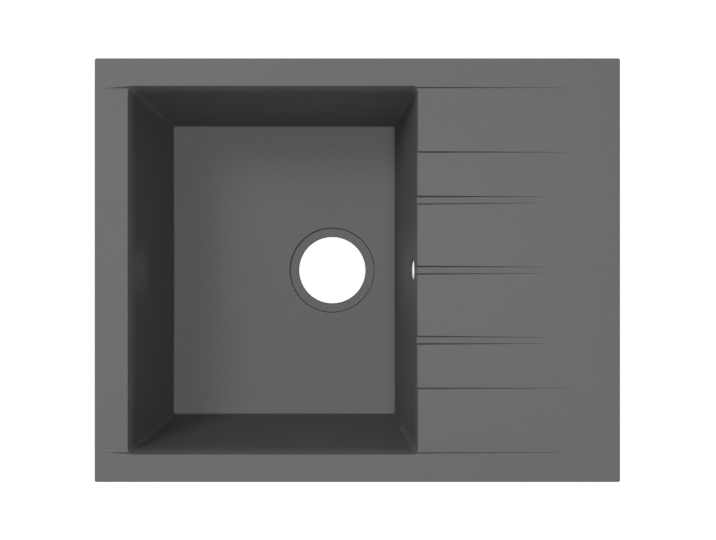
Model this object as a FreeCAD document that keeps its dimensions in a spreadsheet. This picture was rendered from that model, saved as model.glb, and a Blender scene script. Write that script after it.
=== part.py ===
import FreeCAD, Part
import math
import os
import Sketcher

# Inset kitchen sink with drainboard, cast in granite composite, with its sealing tape and clamps.
# Millimetres. The worktop's surface is z = 0 and the middle of the sink's outline is x = y = 0.
# x runs to the drainboard, y to the back and z up.

SIZES = [
    ("Rim", None, None),
    ("sink_length", 620, "outline, left to right"),
    ("sink_width", 500, "outline, front to back"),
    ("outline_corner", 2.5, "radius of the outline's corners"),
    ("rim_height", 8, "rim above the worktop"),
    ("rim_round", 2, "rounding of the rim's outer edge"),
    ("lip_width", 13, "rim outside the locating step"),
    ("step_depth", 12, "locating step below the worktop's surface"),
    ("step_corner", 8, "radius of the step's corners"),
    ("step_width", 7, "wall of the step around the hollow under the drainboard"),
    ("plate_thickness", 10, "casting under the drainboard and rim"),
    ("Bowl", None, None),
    ("bowl_length", 343.3, "opening, left to right"),
    ("bowl_margin", 38.5, "rim's left edge to the bowl's opening"),
    ("bowl_side_margin", 33, "rim's front and back edges to the bowl's opening"),
    ("bowl_depth", 194, "rim's top to the floor's lowest point"),
    ("bowl_draft", 5.8, "lean of the walls, degrees"),
    ("bowl_corner", 6, "radius of the upright corners"),
    ("bowl_foot_round", 4, "radius between the walls and the floor"),
    ("bowl_edge_round", 1, "rounding of the opening's edge"),
    ("wall_thickness", 8, "bowl's walls"),
    ("floor_thickness", 8, "bowl's floor"),
    ("floor_fall", 1.1, "fall of the floor to the drain, degrees"),
    ("Drain and overflow", None, None),
    ("drain_offset", 65, "middle of the bowl to the drain"),
    ("drain_hole", 92, "diameter"),
    ("drain_seat", 115, "diameter of the flat seat around the hole"),
    ("drain_seat_depth", 2.5, "seat below the floor's lowest point"),
    ("drain_seat_lean", 15, "lean of the seat's wall, degrees"),
    ("drain_seat_round", 0.8, "radius at the seat's wall"),
    ("drain_edge_round", 1, "rounding of the hole's edge"),
    ("drain_foot", 136, "diameter of the ring under the floor"),
    ("drain_foot_height", 6, "ring below the floor's underside"),
    ("overflow_hole", 26, "diameter"),
    ("overflow_drop", 43.6, "rim's top to the middle of the hole"),
    ("overflow_web", 2, "casting left around the hole"),
    ("overflow_recess", 36, "diameter of the recess outside for the overflow's gasket"),
    ("overflow_pad", 46, "diameter of the flat pad outside"),
    ("overflow_pad_height", 3, "pad's face beyond the wall"),
    ("overflow_round", 0.8, "rounding of the hole's edge inside the bowl"),
    ("Drainboard", None, None),
    ("terrace_inset", 2.2, "bowl's opening to the foot of the outer step"),
    ("terrace_drop", 3, "depth at the bowl"),
    ("terrace_end", 24, "outline to the line where the fall ends"),
    ("channel_width", 278, "foot to foot of the inner step"),
    ("channel_drop", 7, "depth at the bowl, below the rim"),
    ("channel_end", 30, "outline to the line where the fall ends"),
    ("ledge_drop", 3.6, "fall of the left strip to the bowl"),
    ("ledge_end", 4, "outline to the line where the left strip's fall ends"),
    ("step_lean", 24, "lean of the steps and the grooves' walls, degrees"),
    ("step_foot_round", 1.5, "radius at the foot of the drainboard's steps"),
    ("ledge_foot_round", 4.5, "radius at the foot of the left strip's steps"),
    ("groove_count", 3, "grooves in the drainboard"),
    ("groove_pitch", 83, "groove to groove"),
    ("groove_width", 7.4, "flat bottom of a groove, foot to foot"),
    ("groove_foot_round", 1, "radius at the foot of a groove's walls"),
    ("groove_depth", 4, "depth at the bowl, below the channel"),
    ("groove_end", 73, "outline to the end of the grooves"),
    ("Under the drainboard", None, None),
    ("rib_spacing", 190, "rib to rib"),
    ("rib_thickness", 7, "stiffening ribs"),
    ("rib_depth", 52, "ribs below the worktop's surface, at the bowl"),
    ("tap_hole", 35, "diameter of the blind tap holes, to be knocked through"),
    ("tap_pad", 52, "diameter of the flat pad around a tap hole"),
    ("tap_pad_depth", 8, "pad's face below the worktop's surface"),
    ("tap_web", 3, "casting left over a tap hole"),
    ("tap_from_bowl", 50, "bowl's opening to the tap holes"),
    ("tap_inset", 74, "outline to the tap holes"),
    ("Seal", None, None),
    ("seal_width", 6, "foam tape"),
    ("seal_height", 2, "foam tape, pressed"),
    ("seal_inset", 3.5, "outline to the rebate"),
    ("seal_gap", 0.1, "tape to the sides of the rebate"),
    ("Clamps", None, None),
    ("clamp_spacing_long", 340, "clamp to clamp along the front and the back"),
    ("clamp_spacing_side", 240, "clamp to clamp along the two sides"),
    ("clamp_inset", 7, "locating step to a screw's axis"),
    ("clamp_open", 41, "tips below the worktop's surface when backed off"),
    ("clamp_travel", 13, "lift of the tips"),
    ("boss_width", 13, "diameter of the clamp bosses"),
    ("boss_depth", 20, "bosses below the worktop's surface"),
    ("insert_width", 8, "diameter of the brass inserts"),
    ("insert_height", 10, "brass inserts"),
    ("screw_width", 4.9, "shank of an M5 screw"),
    ("screw_length", 25, "under the head"),
    ("screw_tip", 0.8, "cone at the shank's end"),
    ("screw_gap", 0.05, "shank to the insert, at the radius"),
    ("screw_hole", 5.5, "diameter beyond the inserts and through the washers and claws"),
    ("screw_hole_rest", 0.5, "hole beyond the tip of a tightened screw"),
    ("head_width", 9.5, "diameter"),
    ("head_height", 3.7, "pan head"),
    ("head_round", 2, "rounding of the head"),
    ("recess_length", 5, "cross recess, tip to tip"),
    ("recess_width", 1.2, "cross recess, each arm"),
    ("recess_depth", 2, "cross recess"),
    ("washer_width", 10, "outer diameter"),
    ("washer_height", 1, "thickness"),
    ("claw_width", 12, "steel strip"),
    ("claw_thickness", 2, "steel strip"),
    ("claw_bend", 2, "inner radius of the strip's bends"),
    ("claw_web", 9, "screw's axis to the middle of the upright part"),
    ("claw_reach", 24, "screw's axis to the tip's far face"),
    ("claw_drop", 7, "flange's top to the tip"),
    ("claw_tip", 5, "tip above the foot's underside"),
    ("tooth_pitch", 4, "notch to notch across the tip"),
    ("tooth_depth", 1.2, "notches in the tip"),
]

CLEAR = 1
FRONT, BACK, LEFT, RIGHT = -90, 90, 180, 0

document = FreeCAD.newDocument("kitchen_sink")


class Size:
    """A length or angle: its number now, and the expression that FreeCAD works it out from."""

    def __init__(self, number, text):
        self.number = number
        self.text = text

    def joined(self, sign, other, number):
        return Size(number, "(" + self.text + " " + sign + " " + text_of(other) + ")")

    def __add__(self, other):
        return self.joined("+", other, self.number + number_of(other))

    def __sub__(self, other):
        return self.joined("-", other, self.number - number_of(other))

    def __mul__(self, other):
        return self.joined("*", other, self.number * number_of(other))

    def __truediv__(self, other):
        return self.joined("/", other, self.number / number_of(other))

    def __neg__(self):
        return self * -1


def number_of(size):
    return size.number if isinstance(size, Size) else size


def text_of(size):
    return size.text if isinstance(size, Size) else "(" + str(size) + ")"


def sin_of(angle):
    return Size(math.sin(math.radians(angle.number)), "sin(" + angle.text + ")")


def cos_of(angle):
    return Size(math.cos(math.radians(angle.number)), "cos(" + angle.text + ")")


def tan_of(angle):
    return Size(math.tan(math.radians(angle.number)), "tan(" + angle.text + ")")


def make_sheet():
    """Write the driving sizes to a spreadsheet and return them by name."""
    sheet = document.addObject("Spreadsheet::Sheet", "Sizes")
    sizes = {}
    for row, (name, value, meaning) in enumerate(SIZES, start=1):
        sheet.set("A" + str(row), name)
        if value is None:
            continue
        sheet.set("B" + str(row), str(value))
        sheet.setAlias("B" + str(row), name)
        sheet.set("C" + str(row), meaning)
        sizes[name] = Size(value, "Sizes." + name)
    document.recompute()
    return sizes


def bind(thing, place, size):
    """Drive a property or a constraint from the sheet."""
    thing.setExpression(place, text_of(size))


# Sketches


def new_body(name):
    body = document.addObject("PartDesign::Body", name)
    body.Label = name
    return body


def new_sketch(body, name, role, offset=None, across=None):
    """Sketch on one of the body's origin planes, moved along its normal and across it."""
    plane = next(item for item in body.Origin.OriginFeatures if item.Role == role)
    sketch = body.newObject("Sketcher::SketchObject", name)
    sketch.AttachmentSupport = [(plane, "")]
    sketch.MapMode = "FlatFace"
    if offset is not None:
        bind(sketch, "AttachmentOffset.Base.z", offset)
    if across is not None:
        bind(sketch, "AttachmentOffset.Base.x", across)
    return sketch


def add_constraint(sketch, constraint, size=None):
    place = sketch.addConstraint(constraint)
    if size is not None:
        bind(sketch, "Constraints[" + str(place) + "]", size)


def place_point(sketch, shape, point, across, up):
    """Fix a point of a shape at its distances from the sketch's origin, or on an axis where one is 0."""
    for kind, axis, size in (("DistanceX", -2, across), ("DistanceY", -1, up)):
        if isinstance(size, Size):
            add_constraint(sketch, Sketcher.Constraint(kind, -1, 1, shape, point, size.number), size)
        else:
            add_constraint(sketch, Sketcher.Constraint("PointOnObject", shape, point, axis))


def add_circle(sketch, across, up, radius):
    middle = FreeCAD.Vector(number_of(across), number_of(up), 0)
    shape = sketch.addGeometry(Part.Circle(middle, FreeCAD.Vector(0, 0, 1), radius.number))
    add_constraint(sketch, Sketcher.Constraint("Radius", shape, radius.number), radius)
    place_point(sketch, shape, 3, across, up)


class Corner:
    """One corner of an outline, across and up from the sketch's origin, sharp or with a radius."""

    def __init__(self, across, up, radius=None):
        self.across = across
        self.up = up
        self.radius = radius
        self.point = FreeCAD.Vector(number_of(across), number_of(up), 0)

    def meet(self, before, after):
        """Work out where the lines from and to the corner's neighbours end."""
        back = (before.point - self.point).normalize()
        ahead = (after.point - self.point).normalize()
        half = back.getAngle(ahead) / 2
        radius = self.radius.number if self.radius else 0
        self.start = self.point + back * (radius / math.tan(half))
        self.end = self.point + ahead * (radius / math.tan(half))
        self.middle = self.point + (back + ahead).normalize() * (radius / math.sin(half))
        self.turns_left = ahead.cross(back).z > 0


def add_outline(sketch, corners):
    """Close an outline through the corners, with a tangent arc at each rounded one."""
    for index, corner in enumerate(corners):
        corner.meet(corners[index - 1], corners[(index + 1) % len(corners)])
    lines = []
    for corner, following in zip(corners, corners[1:] + corners[:1]):
        lines.append(sketch.addGeometry(Part.LineSegment(corner.end, following.start)))
    for index, corner in enumerate(corners):
        before, after = lines[index - 1], lines[index]
        if corner.radius:
            round_corner(sketch, corner, before, after)
        else:
            add_constraint(sketch, Sketcher.Constraint("Coincident", before, 2, after, 1))
            place_point(sketch, after, 1, corner.across, corner.up)


def round_corner(sketch, corner, before, after):
    """Join two lines with an arc, and hold the point where they would have met."""
    first, last, near, far = corner.start, corner.end, 1, 2
    if not corner.turns_left:
        first, last, near, far = corner.end, corner.start, 2, 1
    circle = Part.Circle(corner.middle, FreeCAD.Vector(0, 0, 1), corner.radius.number)
    arc = sketch.addGeometry(Part.ArcOfCircle(circle, circle.parameter(first), circle.parameter(last)))
    add_constraint(sketch, Sketcher.Constraint("Tangent", before, 2, arc, near))
    add_constraint(sketch, Sketcher.Constraint("Tangent", arc, far, after, 1))
    add_constraint(sketch, Sketcher.Constraint("Radius", arc, corner.radius.number), corner.radius)
    apex = sketch.addGeometry(Part.Point(corner.point), True)
    add_constraint(sketch, Sketcher.Constraint("PointOnObject", apex, 1, before))
    add_constraint(sketch, Sketcher.Constraint("PointOnObject", apex, 1, after))
    place_point(sketch, apex, 1, corner.across, corner.up)


def add_rectangle(sketch, left, right, low, high, radius=None):
    ends = ((left, low), (right, low), (right, high), (left, high))
    add_outline(sketch, [Corner(across, up, radius) for across, up in ends])


# Features


def extrude(body, kind, name, sketch, length, reverse=False):
    """Pad, which follows the sketch's normal, or Pocket, which goes against it, unless reversed."""
    feature = body.newObject("PartDesign::" + kind, name)
    feature.Profile = sketch
    feature.Reversed = reverse
    bind(feature, "Length", length)
    return feature


def revolve(body, kind, name, sketch):
    """Revolution or Groove about the sketch's upright axis."""
    feature = body.newObject("PartDesign::" + kind, name)
    feature.Profile = sketch
    feature.ReferenceAxis = (sketch, ["V_Axis"])
    feature.Angle = 360


def join(body, name, kind, tool):
    """Fuse another body to this one, or cut it out."""
    feature = body.newObject("PartDesign::Boolean", name)
    feature.Type = kind
    feature.setObjects([tool])


def round_edges(body, name, radius, choose):
    """Fillet the edges that the test chooses in the body's last feature."""
    document.recompute()
    base = body.Tip
    chosen = ["Edge" + str(index) for index, edge in enumerate(base.Shape.Edges, start=1) if choose(edge)]
    fillet = body.newObject("PartDesign::Fillet", name)
    fillet.Base = (base, chosen)
    bind(fillet, "Radius", radius)


def round_pads(body, name, height, places, radius, length):
    """Discs up from a horizontal plane."""
    outline = new_sketch(body, name + "_outline", "XY_Plane", height)
    for across, up in places:
        add_circle(outline, across, up, radius)
    extrude(body, "Pad", name, outline, length)


def round_holes(body, name, height, places, radius, depth):
    """Blind holes up from a horizontal plane."""
    outline = new_sketch(body, name + "_outline", "XY_Plane", height)
    for across, up in places:
        add_circle(outline, across, up, radius)
    extrude(body, "Pocket", name, outline, depth, True)


def is_upright(edge):
    """Whether an edge of a drafted block runs up one of its corners."""
    return edge.BoundBox.ZLength > CLEAR


def is_flat(edge, height):
    """Whether an edge lies at a height."""
    box = edge.BoundBox
    return abs(box.ZMin - height) < 1e-4 and abs(box.ZMax - height) < 1e-4


# Sink


class Fall:
    """Surface that falls to the bowl: its height at the bowl's edge and at its outer end."""

    def __init__(self, side, edge, low, end, high):
        self.side = side
        self.edge = edge
        self.end = end
        self.run = (end - edge) * side
        self.low = low
        self.rise = (high - low) / self.run

    def height(self, across):
        return self.low + (across - self.edge) * self.side * self.rise


class Layout:
    """Places that several features share, worked out from the sizes."""

    def __init__(self, size):
        self.half_length = size["sink_length"] / 2
        self.half_width = size["sink_width"] / 2
        self.top = size["rim_height"]
        self.slope = tan_of(size["bowl_draft"])
        self.bowl_left = size["bowl_margin"] - self.half_length
        self.bowl_right = self.bowl_left + size["bowl_length"]
        self.bowl_side = self.half_width - size["bowl_side_margin"]
        self.floor = self.top - size["bowl_depth"]
        self.under = self.floor - size["floor_thickness"]
        self.foot = self.under - size["drain_foot_height"]
        self.drain = self.bowl_left + size["bowl_length"] / 2 + size["drain_offset"]
        self.step_x = self.half_length - size["lip_width"]
        self.step_y = self.half_width - size["lip_width"]
        self.overflow_height = self.top - size["overflow_drop"]
        self.overflow_wall = self.bowl_right - self.slope * size["overflow_drop"]
        self.overflow_depth = size["wall_thickness"] + size["overflow_pad_height"]
        self.tap_x = self.bowl_right + size["tap_from_bowl"]
        self.tap_y = self.half_width - size["tap_inset"]
        self.terrace_foot = self.bowl_side - size["terrace_inset"]
        self.channel_foot = size["channel_width"] / 2
        self.ledge = Fall(-1, self.bowl_left, self.top - size["ledge_drop"],
                          size["ledge_end"] - self.half_length, self.top)
        self.terrace = Fall(1, self.bowl_right, self.top - size["terrace_drop"],
                            self.half_length - size["terrace_end"], self.top)
        self.channel = Fall(1, self.bowl_right, self.top - size["channel_drop"],
                            self.half_length - size["channel_end"], self.top)
        self.bore_radius = size["screw_width"] / 2 + size["screw_gap"]
        self.claw_top = size["washer_height"] + size["claw_thickness"]
        self.head_open = size["claw_drop"] - self.claw_top - size["clamp_open"]
        self.clamps = self.clamp_places(size)

    def clamp_places(self, size):
        """Each clamp's place across and up, and the way that its claw grips, in degrees."""
        long = size["clamp_spacing_long"] / 2
        short = size["clamp_spacing_side"] / 2
        side = self.step_x - size["clamp_inset"]
        back = self.step_y - size["clamp_inset"]
        return [(-long, -back, FRONT), (long, -back, FRONT), (side, -short, RIGHT), (side, short, RIGHT),
                (long, back, BACK), (-long, back, BACK), (-side, short, LEFT), (-side, -short, LEFT)]


def make_bowl_core(size, at):
    """The bowl's inside as a solid, like the core of its mould."""
    body = new_body("bowl_core")
    opening = new_sketch(body, "core_opening", "XY_Plane", at.top)
    add_rectangle(opening, at.bowl_left, at.bowl_right, -at.bowl_side, at.bowl_side)
    block = extrude(body, "Pad", "core_block", opening, size["bowl_depth"] + CLEAR, True)
    bind(block, "TaperAngle", -size["bowl_draft"])
    round_edges(body, "core_corners", size["bowl_corner"], is_upright)
    reach = size["bowl_length"] + at.bowl_side
    low = at.floor - CLEAR * 2
    far = at.floor + reach * tan_of(size["floor_fall"])
    fall = new_sketch(body, "core_fall", "XZ_Plane", None, at.drain)
    add_outline(fall, [Corner(0, low), Corner(reach, low), Corner(reach, far), Corner(0, at.floor)])
    revolve(body, "Groove", "core_floor", fall)
    middle = at.top.number - size["bowl_depth"].number / 2
    round_edges(body, "core_foot", size["bowl_foot_round"], lambda edge: edge.BoundBox.ZMax < middle)
    return body


def make_bowl_shell(size, at):
    """The bowl's outside as a solid, up to the worktop's surface."""
    body = new_body("bowl_shell")
    outline = new_sketch(body, "shell_outline", "XY_Plane")
    thickness = size["wall_thickness"] - at.slope * at.top
    side = at.bowl_side + thickness
    add_rectangle(outline, at.bowl_left - thickness, at.bowl_right + thickness, -side, side)
    block = extrude(body, "Pad", "shell_block", outline, -at.under, True)
    bind(block, "TaperAngle", -size["bowl_draft"])
    round_edges(body, "shell_corners", size["bowl_corner"] + size["wall_thickness"], is_upright)
    round_edges(body, "shell_foot", size["bowl_foot_round"] + size["floor_thickness"],
                lambda edge: is_flat(edge, at.under.number))
    return body


def make_rim(body, size, at):
    """Plate that rests on the worktop, and the step below it that locates it in the cut-out."""
    plate = new_sketch(body, "rim_outline", "XY_Plane")
    add_rectangle(plate, -at.half_length, at.half_length, -at.half_width, at.half_width,
                  size["outline_corner"])
    extrude(body, "Pad", "rim_plate", plate, at.top)
    round_edges(body, "rim_edge", size["rim_round"], lambda edge: is_flat(edge, at.top.number))
    step = new_sketch(body, "step_outline", "XY_Plane")
    add_rectangle(step, -at.step_x, at.step_x, -at.step_y, at.step_y, size["step_corner"])
    extrude(body, "Pad", "locating_step", step, size["step_depth"], True)
    hollow = new_sketch(body, "hollow_outline", "XY_Plane", -size["step_depth"])
    side = at.step_y - size["step_width"]
    add_rectangle(hollow, at.bowl_right, at.step_x - size["step_width"], -side, side, size["step_corner"])
    extrude(body, "Pocket", "drainboard_hollow", hollow,
            size["step_depth"] + at.top - size["plate_thickness"], True)
    rebate = seal_outline(body, "rebate_outline", 0, size, at)
    extrude(body, "Pocket", "seal_rebate", rebate, size["seal_height"], True)


def seal_outline(body, name, gap, size, at):
    """Two outlines under the rim: the rebate's, or with a gap the sealing tape's."""
    sketch = new_sketch(body, name, "XY_Plane")
    width = size["seal_width"] + size["seal_gap"] * 2
    for inset in (size["seal_inset"] + gap, size["seal_inset"] + width - gap):
        across = at.half_length - inset
        up = at.half_width - inset
        add_rectangle(sketch, -across, across, -up, up, size["outline_corner"])
    return sketch


def follow(feature, fall):
    """Aim a pad or a pocket along a fall."""
    feature.UseCustomVector = True
    feature.Direction = FreeCAD.Vector(fall.side, 0, fall.rise.number)
    bind(feature, "Direction.z", fall.rise)


def sink_surface(body, name, fall, foot, radius, size, at, middles=(0,)):
    """Cut falling surfaces, each between two leaning steps, which fade out where it comes to the rim."""
    start = fall.edge - size["bowl_corner"] * fall.side
    floor = fall.height(start)
    high = at.top + CLEAR
    head = foot + (high - floor) * tan_of(size["step_lean"])
    profile = new_sketch(body, name + "_profile", "YZ_Plane", start)
    for middle in middles:
        add_outline(profile, [Corner(-foot + middle, floor, radius), Corner(foot + middle, floor, radius),
                              Corner(head + middle, high), Corner(-head + middle, high)])
    follow(extrude(body, "Pocket", name, profile, fall.run + size["bowl_corner"] * 2), fall)


def thicken(body, name, fall, foot, size):
    """Keep the casting's thickness under a falling surface."""
    start = fall.edge + size["wall_thickness"] / 2
    surface = fall.height(start)
    side = foot + size["plate_thickness"]
    profile = new_sketch(body, name + "_profile", "YZ_Plane", start)
    add_rectangle(profile, -side, side, surface - size["plate_thickness"], surface - CLEAR)
    follow(extrude(body, "Pad", name, profile, fall.run), fall)


def make_ribs(body, size, at):
    """Ribs that carry the drainboard from the bowl's wall."""
    end = at.step_x - size["step_width"] / 2
    tip = -size["step_depth"] + CLEAR
    for name, side in (("front_rib", -1), ("back_rib", 1)):
        face = size["rib_spacing"] / 2 * side + size["rib_thickness"] / 2
        profile = new_sketch(body, name + "_profile", "XZ_Plane", -face)
        add_outline(profile, [Corner(at.bowl_right, -size["rib_depth"]), Corner(end, tip),
                              Corner(end, 0), Corner(at.bowl_right, 0)])
        extrude(body, "Pad", name, profile, size["rib_thickness"])


def make_drain(body, size, at):
    """Hole and seat for the waste."""
    radius = size["drain_hole"] / 2
    seat = size["drain_seat"] / 2
    level = at.floor - size["drain_seat_depth"]
    low = at.foot - CLEAR
    high = at.floor + CLEAR * 3
    head = seat + (high - level) * tan_of(size["drain_seat_lean"])
    profile = new_sketch(body, "drain_profile", "XZ_Plane", None, at.drain)
    add_outline(profile, [Corner(0, low), Corner(radius, low),
                          Corner(radius, level, size["drain_edge_round"]),
                          Corner(seat, level, size["drain_seat_round"]),
                          Corner(head, high), Corner(0, high)])
    revolve(body, "Groove", "drain_seat", profile)


def wall_sketch(body, name, distance, size, at):
    """Sketch parallel to the wall under the drainboard, its origin on the overflow hole's axis."""
    draft = size["bowl_draft"]
    sketch = new_sketch(body, name, "YZ_Plane")
    lean = FreeCAD.Rotation(FreeCAD.Vector(1, 0, 0), draft.number)
    sketch.AttachmentOffset = FreeCAD.Placement(FreeCAD.Vector(0, 0, 0), lean)
    bind(sketch, "AttachmentOffset.Rotation.Angle", draft)
    bind(sketch, "AttachmentOffset.Base.y", at.overflow_height - distance * sin_of(draft))
    bind(sketch, "AttachmentOffset.Base.z", at.overflow_wall + distance * cos_of(draft))
    return sketch


def make_overflow_pad(body, size, at):
    """Flat pad on the wall's outside, through to the bowl, whose core cuts it off."""
    outline = wall_sketch(body, "overflow_pad_outline", at.overflow_depth, size, at)
    add_circle(outline, 0, 0, size["overflow_pad"] / 2)
    extrude(body, "Pad", "overflow_pad", outline, at.overflow_depth + CLEAR, True)


def make_overflow(body, size, at):
    """Hole square through the wall, rounded inside the bowl and recessed outside it."""
    recess = at.overflow_depth - size["overflow_web"]
    for name, width, depth in (("overflow_recess", size["overflow_recess"], recess),
                               ("overflow_hole", size["overflow_hole"], at.overflow_depth + CLEAR)):
        outline = wall_sketch(body, name + "_outline", at.overflow_depth, size, at)
        add_circle(outline, 0, 0, width / 2)
        extrude(body, "Pocket", name, outline, depth)
    middle = FreeCAD.Vector(at.overflow_wall.number, 0, at.overflow_height.number)
    radius = size["overflow_hole"].number / 2
    round_edges(body, "overflow_edge", size["overflow_round"],
                lambda edge: all(abs(end.Point.distanceToPoint(middle) - radius) < 1e-2
                                 for end in edge.Vertexes))


def make_grooves(body, size, at):
    """Grooves that fall faster than the channel and fade out in it."""
    end = at.half_length - size["groove_end"]
    fall = Fall(1, at.bowl_right, at.channel.low - size["groove_depth"], end, at.channel.height(end))
    count = int(size["groove_count"].number)
    middles = [size["groove_pitch"] * (index - (count - 1) / 2) for index in range(count)]
    sink_surface(body, "drain_grooves", fall, size["groove_width"] / 2, size["groove_foot_round"],
                 size, at, middles)


def round_opening(body, size, at):
    """Round the top edges of the bowl's walls, which step down where the surfaces fall to the bowl."""
    document.recompute()
    left, right, side = at.bowl_left.number, at.bowl_right.number, at.bowl_side.number
    walls = [face for face in body.Tip.Shape.Faces
             if face.BoundBox.ZLength > size["bowl_depth"].number / 2 and face.BoundBox.XMin > left - CLEAR
             and face.BoundBox.XMax < right + CLEAR and face.BoundBox.YMax < side + CLEAR]
    tops = [edge for wall in walls for edge in wall.Edges if edge.BoundBox.ZMin > -at.top.number]
    round_edges(body, "opening_edge", size["bowl_edge_round"],
                lambda edge: any(edge.isSame(top) for top in tops))


def make_sink(size, at):
    core = make_bowl_core(size, at)
    shell = make_bowl_shell(size, at)
    body = new_body("sink_moulding")
    screws = [(across, up) for across, up, way in at.clamps]
    taps = [(at.tap_x, -at.tap_y), (at.tap_x, at.tap_y)]
    bosses = -size["boss_depth"]
    pads = -size["tap_pad_depth"]
    make_rim(body, size, at)
    join(body, "bowl", "Fuse", shell)
    round_pads(body, "drain_ring", at.foot, [(at.drain, 0)], size["drain_foot"] / 2,
               size["drain_foot_height"] + CLEAR)
    make_overflow_pad(body, size, at)
    thicken(body, "terrace_thickening", at.terrace, at.terrace_foot, size)
    thicken(body, "channel_thickening", at.channel, at.channel_foot, size)
    make_ribs(body, size, at)
    round_pads(body, "clamp_bosses", bosses, screws, size["boss_width"] / 2, size["boss_depth"])
    round_pads(body, "tap_pads", pads, taps, size["tap_pad"] / 2, size["tap_pad_depth"])
    join(body, "bowl_cavity", "Cut", core)
    make_drain(body, size, at)
    make_overflow(body, size, at)
    sink_surface(body, "left_ledge", at.ledge, at.terrace_foot, size["ledge_foot_round"], size, at)
    sink_surface(body, "drainboard_terraces", at.terrace, at.terrace_foot, size["step_foot_round"], size, at)
    sink_surface(body, "drainboard_channel", at.channel, at.channel_foot, size["step_foot_round"], size, at)
    make_grooves(body, size, at)
    round_opening(body, size, at)
    web = at.terrace.height(at.tap_x - size["tap_hole"] / 2) - size["tap_web"]
    round_holes(body, "tap_holes", pads, taps, size["tap_hole"] / 2, web + size["tap_pad_depth"])
    round_holes(body, "insert_holes", bosses, screws, size["insert_width"] / 2, size["insert_height"])
    tip = at.head_open + size["clamp_travel"] + size["screw_length"] + size["screw_hole_rest"]
    round_holes(body, "screw_holes", bosses, screws, size["screw_hole"] / 2, tip + size["boss_depth"])
    return body


def make_seal(size, at):
    body = new_body("rim_seal")
    outline = seal_outline(body, "seal_outline", size["seal_gap"], size, at)
    extrude(body, "Pad", "seal_tape", outline, size["seal_height"])
    return body


# Clamps


def make_inserts(size, at):
    """Brass sleeves in the clamp bosses, one to a screw."""
    body = new_body("threaded_inserts")
    outline = new_sketch(body, "insert_outline", "XY_Plane", -size["boss_depth"])
    for across, up, way in at.clamps:
        add_circle(outline, across, up, size["insert_width"] / 2)
        add_circle(outline, across, up, at.bore_radius)
    extrude(body, "Pad", "insert_sleeves", outline, size["insert_height"])
    return body


def make_screw(number, size, at):
    """Pan-head screw, with its head's bearing face at the origin."""
    body = new_body("clamp_screw_" + number)
    head = size["head_width"] / 2
    shank = size["screw_width"] / 2
    low = -size["head_height"]
    length = size["screw_length"]
    tip = size["screw_tip"]
    profile = new_sketch(body, "screw_profile_" + number, "XZ_Plane")
    add_outline(profile, [Corner(0, low), Corner(head, low, size["head_round"]), Corner(head, 0),
                          Corner(shank, 0), Corner(shank, length - tip), Corner(shank - tip, length),
                          Corner(0, length)])
    revolve(body, "Revolution", "screw_turning_" + number, profile)
    long, short = size["recess_length"] / 2, size["recess_width"] / 2
    arm = [(long, -short), (long, short), (short, short)]
    corners = []
    for quarter in range(4):
        corners += [Corner(across, up) for across, up in arm]
        arm = [(-up, across) for across, up in arm]
    recess = new_sketch(body, "recess_outline_" + number, "XY_Plane", low)
    add_outline(recess, corners)
    extrude(body, "Pocket", "screw_recess_" + number, recess, size["recess_depth"], True)
    return body


def make_washer(number, size, at):
    body = new_body("clamp_washer_" + number)
    ring = new_sketch(body, "washer_outline_" + number, "XY_Plane")
    add_circle(ring, 0, 0, size["washer_width"] / 2)
    add_circle(ring, 0, 0, size["screw_hole"] / 2)
    extrude(body, "Pad", "washer_ring_" + number, ring, size["washer_height"])
    return body


def make_claw(number, size, at):
    """Bent strip on the washer: flange, upright web, foot and a toothed tip that grips the worktop."""
    body = new_body("clamp_claw_" + number)
    thickness = size["claw_thickness"]
    side = size["claw_width"] / 2
    inner = size["claw_bend"]
    outer = size["claw_bend"] + thickness
    low = size["washer_height"]
    top = at.claw_top
    tip = top - size["claw_drop"]
    foot = tip - size["claw_tip"]
    web = size["claw_web"] - thickness / 2
    end = size["claw_reach"]
    strip = new_sketch(body, "claw_profile_" + number, "XZ_Plane", -side)
    add_outline(strip, [Corner(0, low), Corner(web, low, inner), Corner(web, foot, outer),
                        Corner(end, foot, outer), Corner(end, tip), Corner(end - thickness, tip),
                        Corner(end - thickness, foot + thickness, inner),
                        Corner(web + thickness, foot + thickness, inner),
                        Corner(web + thickness, top, outer), Corner(0, top)])
    extrude(body, "Pad", "claw_strip_" + number, strip, size["claw_width"])
    round_pads(body, "claw_end_" + number, low, [(0, 0)], side, thickness)
    round_holes(body, "claw_hole_" + number, low, [(0, 0)], size["screw_hole"] / 2, thickness)
    notches = new_sketch(body, "tooth_profile_" + number, "YZ_Plane", end)
    depth = size["tooth_depth"]
    for index in (-1, 0, 1):
        middle = size["tooth_pitch"] * index
        add_outline(notches, [Corner(middle, tip - depth), Corner(middle + depth * 2, tip + depth),
                              Corner(middle - depth * 2, tip + depth)])
    extrude(body, "Pocket", "claw_teeth_" + number, notches, thickness)
    return body


def make_clamps(size, at):
    """Eight clamps, backed off and stowed along the edge, each a quarter turn short of its grip."""
    pieces = []
    for index, (across, up, way) in enumerate(at.clamps, start=1):
        for make_piece in (make_screw, make_washer, make_claw):
            body = make_piece(str(index), size, at)
            turn = FreeCAD.Rotation(FreeCAD.Vector(0, 0, 1), way - 90)
            body.Placement = FreeCAD.Placement(FreeCAD.Vector(0, 0, 0), turn)
            bind(body, "Placement.Base.x", across)
            bind(body, "Placement.Base.y", up)
            bind(body, "Placement.Base.z", at.head_open)
            pieces.append(body)
    return pieces


def export(pieces):
    """Check every object of the document, then write each piece to its own file."""
    document.recompute()
    for item in document.Objects:
        if {"Invalid", "Error"} & set(item.State):
            raise RuntimeError(item.Label + " is " + ", ".join(item.State))
    os.makedirs("parts", exist_ok=True)
    for piece in pieces:
        if piece.Shape.isNull() or not piece.Shape.isValid():
            raise RuntimeError(piece.Label + " has no valid shape")
        piece.Shape.exportStep("parts/" + piece.Label + ".step")
        print(piece.Label, len(piece.Shape.Solids), round(piece.Shape.Volume), "mm3")


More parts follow.
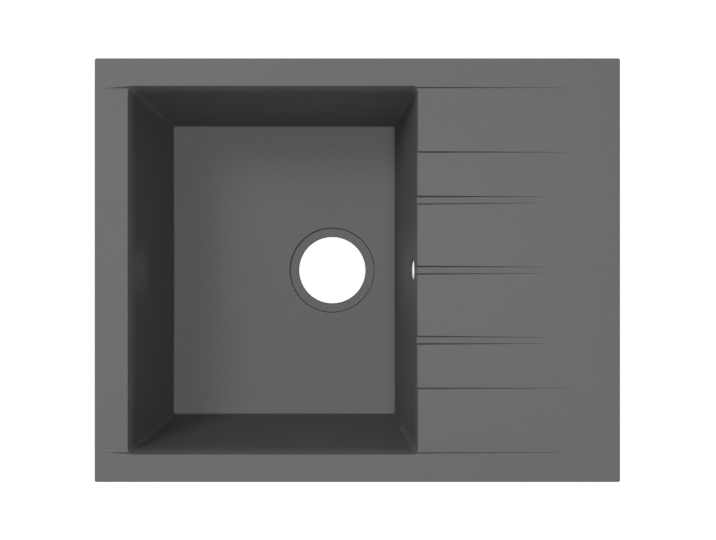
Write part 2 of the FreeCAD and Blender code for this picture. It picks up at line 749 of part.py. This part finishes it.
sizes = make_sheet()
places = Layout(sizes)
sink = make_sink(sizes, places)
seal = make_seal(sizes, places)
inserts = make_inserts(sizes, places)
clamps = make_clamps(sizes, places)
export([sink, seal, inserts] + clamps)
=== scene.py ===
import math

import bmesh
import bpy
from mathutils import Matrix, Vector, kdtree


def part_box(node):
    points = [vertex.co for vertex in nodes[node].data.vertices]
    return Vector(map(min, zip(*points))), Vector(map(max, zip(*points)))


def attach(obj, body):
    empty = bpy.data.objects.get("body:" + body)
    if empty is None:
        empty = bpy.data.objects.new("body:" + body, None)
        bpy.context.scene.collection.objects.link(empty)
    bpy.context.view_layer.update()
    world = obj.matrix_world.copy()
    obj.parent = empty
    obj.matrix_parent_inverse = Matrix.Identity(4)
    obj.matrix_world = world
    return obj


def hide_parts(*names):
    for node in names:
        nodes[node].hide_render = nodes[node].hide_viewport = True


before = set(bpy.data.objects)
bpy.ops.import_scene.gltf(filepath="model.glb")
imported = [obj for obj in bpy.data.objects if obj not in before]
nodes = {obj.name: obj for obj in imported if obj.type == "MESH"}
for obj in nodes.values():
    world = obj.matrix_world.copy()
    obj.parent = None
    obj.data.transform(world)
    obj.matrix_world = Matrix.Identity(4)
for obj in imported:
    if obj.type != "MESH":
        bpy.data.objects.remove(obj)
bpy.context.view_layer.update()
scene = bpy.context.scene

SINK_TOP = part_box("sink_moulding")[1].z
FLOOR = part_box("sink_moulding")[0].z

# The photograph looks straight down: its scale at the rim and the camera's height were read from it.
CAMERA = (0.0008, 0.0002, SINK_TOP + 1.157)
LENS = 49.38
PHOTO_WIDTH = 36

# Softboxes: name, place, width and watts.
LAMPS = [
    ("key", (-1.2, 1.0, 2.0), 0.8, 16.0),
    ("overhead", (0.2, 0.0, 2.4), 0.6, 22.2),
    ("side", (-2.4, 0.6, 0.9), 0.8, 4.5),
    ("front", (0.0, -2.6, 0.9), 0.8, 4.9),
    ("low_front", (0.0, -2.6, 0.0), 0.36, 30.0),
    ("low_back", (0.0, 2.6, 0.0), 0.36, 30.0),
    ("low_left", (-2.6, 0.0, 0.0), 0.36, 30.0),
    ("low_right", (2.6, 0.0, 0.0), 0.36, 30.0),
]
WORLD = 0.05

# The floor: its size, its own colour, and its white as the camera sees it near the sink. Between the two
# distances in HORIZON that white rises to 1.
FLOOR_SIZE = 60
FLOOR_COLOUR = (0.5, 0.5, 0.5)
FLOOR_GLOW = 0.82
HORIZON = (1.2, 5.0)

# Granite composite: its grey, the painted shade that darkens it on walls and steps, the mottled grey of its
# underside, and its features' number to a metre.
GRANITE = (0.191, 0.183, 0.18)
WALL_PAINTED_SHADE = (0.62, 0.62, 0.62)
STEP_PAINTED_SHADE = (0.42, 0.42, 0.42)
CAST_DARK = (0.105, 0.102, 0.099)
CAST_LIGHT = (0.175, 0.17, 0.165)
UNDARKENED = (1.0, 1.0, 1.0)
CLOUDED = (0.985, 0.985, 0.985)
GRAINS = 3000.0
FINE_GRAINS = 1800.0
GLOSS_PATCHES = 700.0
MOTTLES = 60.0
CLOUDS = 9.0

# M5 screws, in metres.
PITCH = 0.0008
THREAD_CREST = 0.00244
THREAD_ROOT = 0.00200
SCREW_TIP = 0.0008
TURN_STEPS = 16
HEAD_STEPS = 48
HEAD_HEIGHT = 0.0037
HEAD_ROUND = 0.002
RECESS_LENGTH = 0.005
RECESS_WIDTH = 0.0012
RECESS_DEPTH = 0.002

# Relief under the overflow, as its lowest and highest corners. The photograph shows white through the
# hole, so nothing behind it stands in the camera's way.
RELIEF = ((0.06805, -0.016, -0.125), (0.1, 0.016, -0.04874))
RELIEF_ROUND = 0.008

# What two points and two normals of the sink's mesh may differ by and still be the same.
WELD = 0.000001
SAME_PLACE = 0.000003
SAME_WAY = 0.8


# Node materials


def new_material(name, roughness, metallic=0.0):
    material = bpy.data.materials.new(name)
    material.use_nodes = True
    shader = material.node_tree.nodes["Principled BSDF"]
    shader.inputs["Roughness"].default_value = roughness
    shader.inputs["Metallic"].default_value = metallic
    return material, material.node_tree, shader


def add_node(tree, kind, **values):
    node = tree.nodes.new("ShaderNode" + kind)
    for name, value in values.items():
        if name in node.inputs:
            node.inputs[name].default_value = value
        else:
            setattr(node, name, value)
    return node


def link(tree, source, target):
    tree.links.new(source, target)


def ramp(tree, source, stops):
    """Colour ramp through (position, colour) stops."""
    node = tree.nodes.new("ShaderNodeValToRGB")
    link(tree, source, node.inputs["Fac"])
    elements = node.color_ramp.elements
    while len(elements) < len(stops):
        elements.new(0.5)
    for element, (position, colour) in zip(elements, stops):
        element.position = position
        element.color = (*colour, 1.0)
    return node.outputs["Color"]


def mix(tree, factor, first, second, how="MIX"):
    """Mix two colours, each an output or a plain colour."""
    node = tree.nodes.new("ShaderNodeMix")
    node.data_type = "RGBA"
    node.blend_type = how
    for value, socket in ((factor, 0), (first, 6), (second, 7)):
        if isinstance(value, bpy.types.NodeSocket):
            link(tree, value, node.inputs[socket])
        elif isinstance(value, tuple):
            node.inputs[socket].default_value = (*value, 1.0)
        else:
            node.inputs[socket].default_value = value
    return node.outputs[2]


def remap(tree, source, low, high, to_low, to_high):
    node = add_node(tree, "MapRange")
    link(tree, source, node.inputs[0])
    for index, value in enumerate((low, high, to_low, to_high), start=1):
        node.inputs[index].default_value = value
    return node.outputs[0]


def bump(tree, shader, source, distance, strength, before=None):
    node = add_node(tree, "Bump")
    node.inputs["Distance"].default_value = distance
    node.inputs["Strength"].default_value = strength
    link(tree, source, node.inputs["Height"])
    if before is not None:
        link(tree, before, node.inputs["Normal"])
    link(tree, node.outputs["Normal"], shader.inputs["Normal"])
    return node.outputs["Normal"]


def noise(tree, place, scale, detail=2.0, roughness=0.5):
    node = add_node(tree, "TexNoise", Scale=scale, Detail=detail, Roughness=roughness)
    link(tree, place, node.inputs["Vector"])
    return node.outputs[0]


def granite_composite():
    """Quartz grains of a third of a millimetre in matt grey resin.

    Steep faces get painted shade, darker than the flat ones, and the cast underside is mottled.
    """
    material, tree, shader = new_material("granite_composite", 0.6)
    shader.inputs["Specular IOR Level"].default_value = 0.3
    place = add_node(tree, "TexCoord").outputs["Object"]
    grains = add_node(tree, "TexVoronoi", Scale=GRAINS)
    link(tree, place, grains.inputs["Vector"])
    tone = add_node(tree, "SeparateColor")
    link(tree, grains.outputs["Color"], tone.inputs[0])
    dark = tuple(value * 0.9 for value in GRANITE)
    light = tuple(value * 1.1 for value in GRANITE)
    colour = ramp(tree, tone.outputs[0], [(0.0, dark), (0.5, GRANITE), (1.0, light)])
    glint = remap(tree, tone.outputs[1], 0.95, 0.97, 0.0, 0.4)
    colour = mix(tree, glint, colour, tuple(value * 1.5 for value in GRANITE))
    cloud = ramp(tree, noise(tree, place, CLOUDS, 3.0), [(0.3, CLOUDED), (0.7, UNDARKENED)])
    colour = mix(tree, 1.0, colour, cloud, "MULTIPLY")
    normal = add_node(tree, "SeparateXYZ")
    link(tree, add_node(tree, "NewGeometry").outputs["True Normal"], normal.inputs[0])
    # Painted shade: walls, steps and rounded edges are darkened in colour by how steep they are.
    painted_slope_shade = ramp(tree, normal.outputs["Z"],
                 [(0.15, WALL_PAINTED_SHADE), (0.35, STEP_PAINTED_SHADE), (0.6, STEP_PAINTED_SHADE), (0.95, UNDARKENED)])
    colour = mix(tree, 1.0, colour, painted_slope_shade, "MULTIPLY")
    under = remap(tree, normal.outputs["Z"], -0.02, -0.08, 0.0, 1.0)
    mottle = noise(tree, place, MOTTLES, 4.0, 0.65)
    colour = mix(tree, under, colour, ramp(tree, mottle, [(0.3, CAST_DARK), (0.7, CAST_LIGHT)]))
    link(tree, colour, shader.inputs["Base Color"])
    rough = remap(tree, noise(tree, place, GLOSS_PATCHES), 0.3, 0.7, 0.6, 0.7)
    rougher = add_node(tree, "Math", operation="ADD")
    link(tree, rough, rougher.inputs[0])
    link(tree, remap(tree, under, 0.0, 1.0, 0.0, 0.15), rougher.inputs[1])
    link(tree, rougher.outputs[0], shader.inputs["Roughness"])
    fine = bump(tree, shader, noise(tree, place, FINE_GRAINS), 0.00002, 0.12)
    bump(tree, shader, mottle, 0.0002, 0.12, fine)
    return material


def foam():
    material, tree, shader = new_material("seal_foam", 0.9)
    place = add_node(tree, "TexCoord").outputs["Object"]
    cells = add_node(tree, "TexVoronoi", Scale=1200.0)
    link(tree, place, cells.inputs["Vector"])
    colour = ramp(tree, cells.outputs["Distance"],
                  [(0.0, (0.006, 0.006, 0.0065)), (0.6, (0.02, 0.02, 0.021))])
    link(tree, colour, shader.inputs["Base Color"])
    bump(tree, shader, cells.outputs["Distance"], 0.0002, 0.7)
    return material


def metal(name, dark, light, scale, roughness):
    """Metal with a clouded plating and fine scratches."""
    material, tree, shader = new_material(name, roughness, 1.0)
    place = add_node(tree, "TexCoord").outputs["Object"]
    cloud = noise(tree, place, scale, 5.0, 0.6)
    link(tree, ramp(tree, cloud, [(0.3, dark), (0.7, light)]), shader.inputs["Base Color"])
    link(tree, remap(tree, cloud, 0.3, 0.7, roughness - 0.06, roughness + 0.1), shader.inputs["Roughness"])
    bump(tree, shader, noise(tree, place, scale * 12, 3.0, 0.7), 0.00003, 0.5)
    return material


SLOTS = {
    "sink_moulding": granite_composite(),
    "rim_seal": foam(),
    "threaded_inserts": metal("insert_brass", (0.5, 0.33, 0.12), (0.68, 0.48, 0.21), 300.0, 0.3),
    "clamp_claw": metal("clamp_steel", (0.34, 0.35, 0.37), (0.5, 0.51, 0.53), 220.0, 0.38),
    "clamp_screw": metal("screw_steel", (0.4, 0.4, 0.42), (0.56, 0.57, 0.59), 400.0, 0.3),
    "clamp_washer": metal("washer_steel", (0.38, 0.39, 0.41), (0.54, 0.55, 0.57), 350.0, 0.34),
}
for name, node in nodes.items():
    family = next(key for key in SLOTS if name.startswith(key))
    node.data.materials.clear()
    node.data.materials.append(SLOTS[family])


# Sink with a relief under its overflow, in place of the plain one


def shading_normals(before, after):
    """Give each corner of a mesh the normal that the CAD's mesh has there, or else its face's own."""
    corners = {loop.vertex_index: before.corner_normals[loop.index].vector.copy() for loop in before.loops}
    tree = kdtree.KDTree(len(before.vertices))
    for vertex in before.vertices:
        tree.insert(vertex.co, vertex.index)
    tree.balance()
    near = [[corners[index] for place, index, gap in tree.find_range(vertex.co, SAME_PLACE)]
            for vertex in after.vertices]
    normals = []
    for face in after.polygons:
        for index in face.vertices:
            best = max(near[index], key=face.normal.dot, default=face.normal)
            normals.append(best if best.dot(face.normal) > SAME_WAY else face.normal)
    after.shade_smooth()
    after.normals_split_custom_set(normals)


def welded(data):
    """Copy a mesh with its seams closed."""
    copy = data.copy()
    mesh = bmesh.new()
    mesh.from_mesh(copy)
    bmesh.ops.remove_doubles(mesh, verts=mesh.verts, dist=WELD)
    mesh.to_mesh(copy)
    mesh.free()
    return copy


def relief_block():
    """Block with rounded long edges, its inner face upright, from the overflow's edge down and outwards."""
    mesh = bmesh.new()
    bmesh.ops.create_cube(mesh, size=1.0)
    low, high = RELIEF
    for vertex in mesh.verts:
        vertex.co = [low[axis] if vertex.co[axis] < 0 else high[axis] for axis in range(3)]
    inner = [edge for edge in mesh.edges if all(vertex.co.x == low[0] for vertex in edge.verts)
             and edge.verts[0].co.z != edge.verts[1].co.z]
    bmesh.ops.bevel(mesh, geom=inner, offset=RELIEF_ROUND, segments=8, profile=0.5, affect="EDGES")
    data = bpy.data.meshes.new("relief")
    mesh.to_mesh(data)
    mesh.free()
    return bpy.data.objects.new("relief", data)


def make_sink():
    plain = nodes["sink_moulding"].data
    piece = bpy.data.objects.new("sink_relieved", welded(plain))
    block = relief_block()
    for item in (piece, block):
        scene.collection.objects.link(item)
    cut = piece.modifiers.new("relief", "BOOLEAN")
    cut.operation = "DIFFERENCE"
    cut.solver = "EXACT"
    cut.object = block
    bpy.context.view_layer.update()
    data = bpy.data.meshes.new_from_object(piece.evaluated_get(bpy.context.evaluated_depsgraph_get()))
    piece.modifiers.clear()
    bpy.data.objects.remove(block)
    shading_normals(plain, data)
    piece.data = data
    data.materials.clear()
    data.materials.append(SLOTS["sink_moulding"])
    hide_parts("sink_moulding")
    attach(piece, "root")


make_sink()


# Screws with their thread and tapered recess, in place of the plain ones


def thread_rings(length):
    """Three rings of points a turn up a helix: the groove's bottom and the crest's two edges."""
    steps = int((length / PITCH + 1) * TURN_STEPS)
    for step in range(steps + 1):
        angle = 2 * math.pi * step / TURN_STEPS
        rise = PITCH * (step / TURN_STEPS - 1)
        for radius, part in ((THREAD_ROOT, 0.0), (THREAD_CREST, 0.44), (THREAD_CREST, 0.56)):
            height = min(rise + part * PITCH, length)
            radius = min(radius, THREAD_CREST + length - SCREW_TIP - height)
            yield (radius * math.cos(angle), radius * math.sin(angle), height)


def add_thread(mesh, length):
    points = [mesh.verts.new(point) for point in thread_rings(length)]
    turn = 3 * TURN_STEPS
    for index in range(0, len(points) - 3, 3):
        root, low, high = points[index:index + 3]
        next_root, next_low, next_high = points[index + 3:index + 6]
        mesh.faces.new((root, next_root, next_low, low))
        mesh.faces.new((low, next_low, next_high, high))
        if index + turn + 3 < len(points):
            mesh.faces.new((high, next_high, points[index + turn + 3], points[index + turn]))
    mesh.faces.new(ring(mesh, THREAD_CREST - SCREW_TIP, length))


def ring(mesh, radius, height):
    turns = (2 * math.pi * step / HEAD_STEPS for step in range(HEAD_STEPS))
    return [mesh.verts.new((radius * math.cos(turn), radius * math.sin(turn), height)) for turn in turns]


def cross(mesh, size, height):
    """Outline of a cross recess, its arms narrowing towards their ends."""
    long, wide, short = RECESS_LENGTH / 2 * size, RECESS_WIDTH / 2 * size, RECESS_WIDTH * 0.42 * size
    points = []
    for turn in range(4):
        for across, up in ((long, -short), (long, short), (wide, wide)):
            for quarter in range(turn):
                across, up = -up, across
            points.append(mesh.verts.new((across, up, height)))
    return points


def bridge(mesh, first, second):
    count = len(first)
    for index in range(count):
        after = (index + 1) % count
        mesh.faces.new((first[index], first[after], second[after], second[index]))


def loop_edges(mesh, points):
    count = len(points)
    pairs = ((points[index], points[(index + 1) % count]) for index in range(count))
    return [mesh.edges.get(pair) or mesh.edges.new(pair) for pair in pairs]


def add_head(mesh, radius, height):
    """Pan head, its bearing face at 0 and its crown below."""
    rings = [ring(mesh, THREAD_ROOT, 0.0), ring(mesh, radius - 0.0001, 0.0), ring(mesh, radius, -0.0001)]
    bend = HEAD_ROUND
    for step in range(7):
        angle = math.pi / 2 * step / 6
        rings.append(ring(mesh, radius - bend + bend * math.cos(angle),
                          -(height - bend) - bend * math.sin(angle)))
    for first, second in zip(rings, rings[1:]):
        bridge(mesh, first, second)
    mouth = cross(mesh, 1.0, -height)
    bottom = cross(mesh, 0.6, -height + RECESS_DEPTH)
    bridge(mesh, mouth, bottom)
    mesh.faces.new(bottom)
    bmesh.ops.triangle_fill(mesh, edges=loop_edges(mesh, rings[-1]) + loop_edges(mesh, mouth))


def make_screw(node):
    low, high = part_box(node)
    radius = (high.x - low.x) / 2
    mesh = bmesh.new()
    add_head(mesh, radius, HEAD_HEIGHT)
    add_thread(mesh, high.z - low.z - HEAD_HEIGHT)
    bmesh.ops.recalc_face_normals(mesh, faces=mesh.faces)
    data = bpy.data.meshes.new(node + "_threaded")
    mesh.to_mesh(data)
    mesh.free()
    piece = bpy.data.objects.new(node + "_threaded", data)
    piece.location = ((low.x + high.x) / 2, (low.y + high.y) / 2, low.z + HEAD_HEIGHT)
    scene.collection.objects.link(piece)
    data.materials.append(SLOTS["clamp_screw"])
    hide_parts(node)
    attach(piece, node.replace("clamp_", ""))


for number in range(1, 9):
    make_screw("clamp_screw_" + str(number))


# Floor, light and camera


def seen(tree):
    """1 for what the camera sees, also in a reflection, and 0 for what lights the sink."""
    path = add_node(tree, "LightPath")
    found = path.outputs["Is Camera Ray"]
    for way in ("Is Glossy Ray", "Is Transmission Ray"):
        either = add_node(tree, "Math", operation="MAXIMUM")
        link(tree, found, either.inputs[0])
        link(tree, path.outputs[way], either.inputs[1])
        found = either.outputs[0]
    return found


def white_floor():
    """Pale floor whose own white shows behind the object, with the object's shadow kept.

    Far out, where the lamps no longer reach, it is brighter, so it meets the world's white.
    """
    bpy.ops.mesh.primitive_plane_add(size=FLOOR_SIZE, location=(0, 0, FLOOR))
    floor = bpy.context.active_object
    floor.name = "studio_floor"
    material = bpy.data.materials.new("studio_white")
    material.use_nodes = True
    tree = material.node_tree
    shader = tree.nodes["Principled BSDF"]
    shader.inputs["Base Color"].default_value = (*FLOOR_COLOUR, 1.0)
    shader.inputs["Roughness"].default_value = 1.0
    shader.inputs["Specular IOR Level"].default_value = 0.0
    shader.inputs["Emission Color"].default_value = (1.0, 1.0, 1.0, 1.0)
    reach = add_node(tree, "VectorMath", operation="LENGTH")
    link(tree, add_node(tree, "TexCoord").outputs["Object"], reach.inputs[0])
    glow = add_node(tree, "Math", operation="MULTIPLY")
    link(tree, seen(tree), glow.inputs[0])
    link(tree, remap(tree, reach.outputs["Value"], *HORIZON, FLOOR_GLOW, 1.0), glow.inputs[1])
    link(tree, glow.outputs[0], shader.inputs["Emission Strength"])
    floor.data.materials.append(material)


def add_softbox(name, place, width, power):
    """Square softbox that faces the sink's middle and isn't seen by the camera.

    The low ones aren't reflected either, because the metal already shows the white room there.
    """
    data = bpy.data.lights.new(name, "AREA")
    data.size = width
    data.energy = power
    light = bpy.data.objects.new(name, data)
    light.location = place
    light.rotation_euler = light.location.to_track_quat("Z", "Y").to_euler()
    light.visible_camera = False
    light.visible_glossy = not name.startswith("low")
    scene.collection.objects.link(light)


white_floor()
for lamp in LAMPS:
    add_softbox(*lamp)

world = bpy.data.worlds.new("studio")
world.use_nodes = True
tree = world.node_tree
background = tree.nodes["Background"]
background.inputs["Color"].default_value = (1.0, 1.0, 1.0, 1.0)
link(tree, remap(tree, seen(tree), 0.0, 1.0, WORLD, 1.0), background.inputs["Strength"])
scene.world = world

camera_data = bpy.data.cameras.new("camera")
camera_data.sensor_width = PHOTO_WIDTH
camera_data.lens = LENS
camera = bpy.data.objects.new("camera", camera_data)
camera.location = CAMERA
scene.collection.objects.link(camera)
scene.camera = camera

scene.view_settings.view_transform = "Standard"
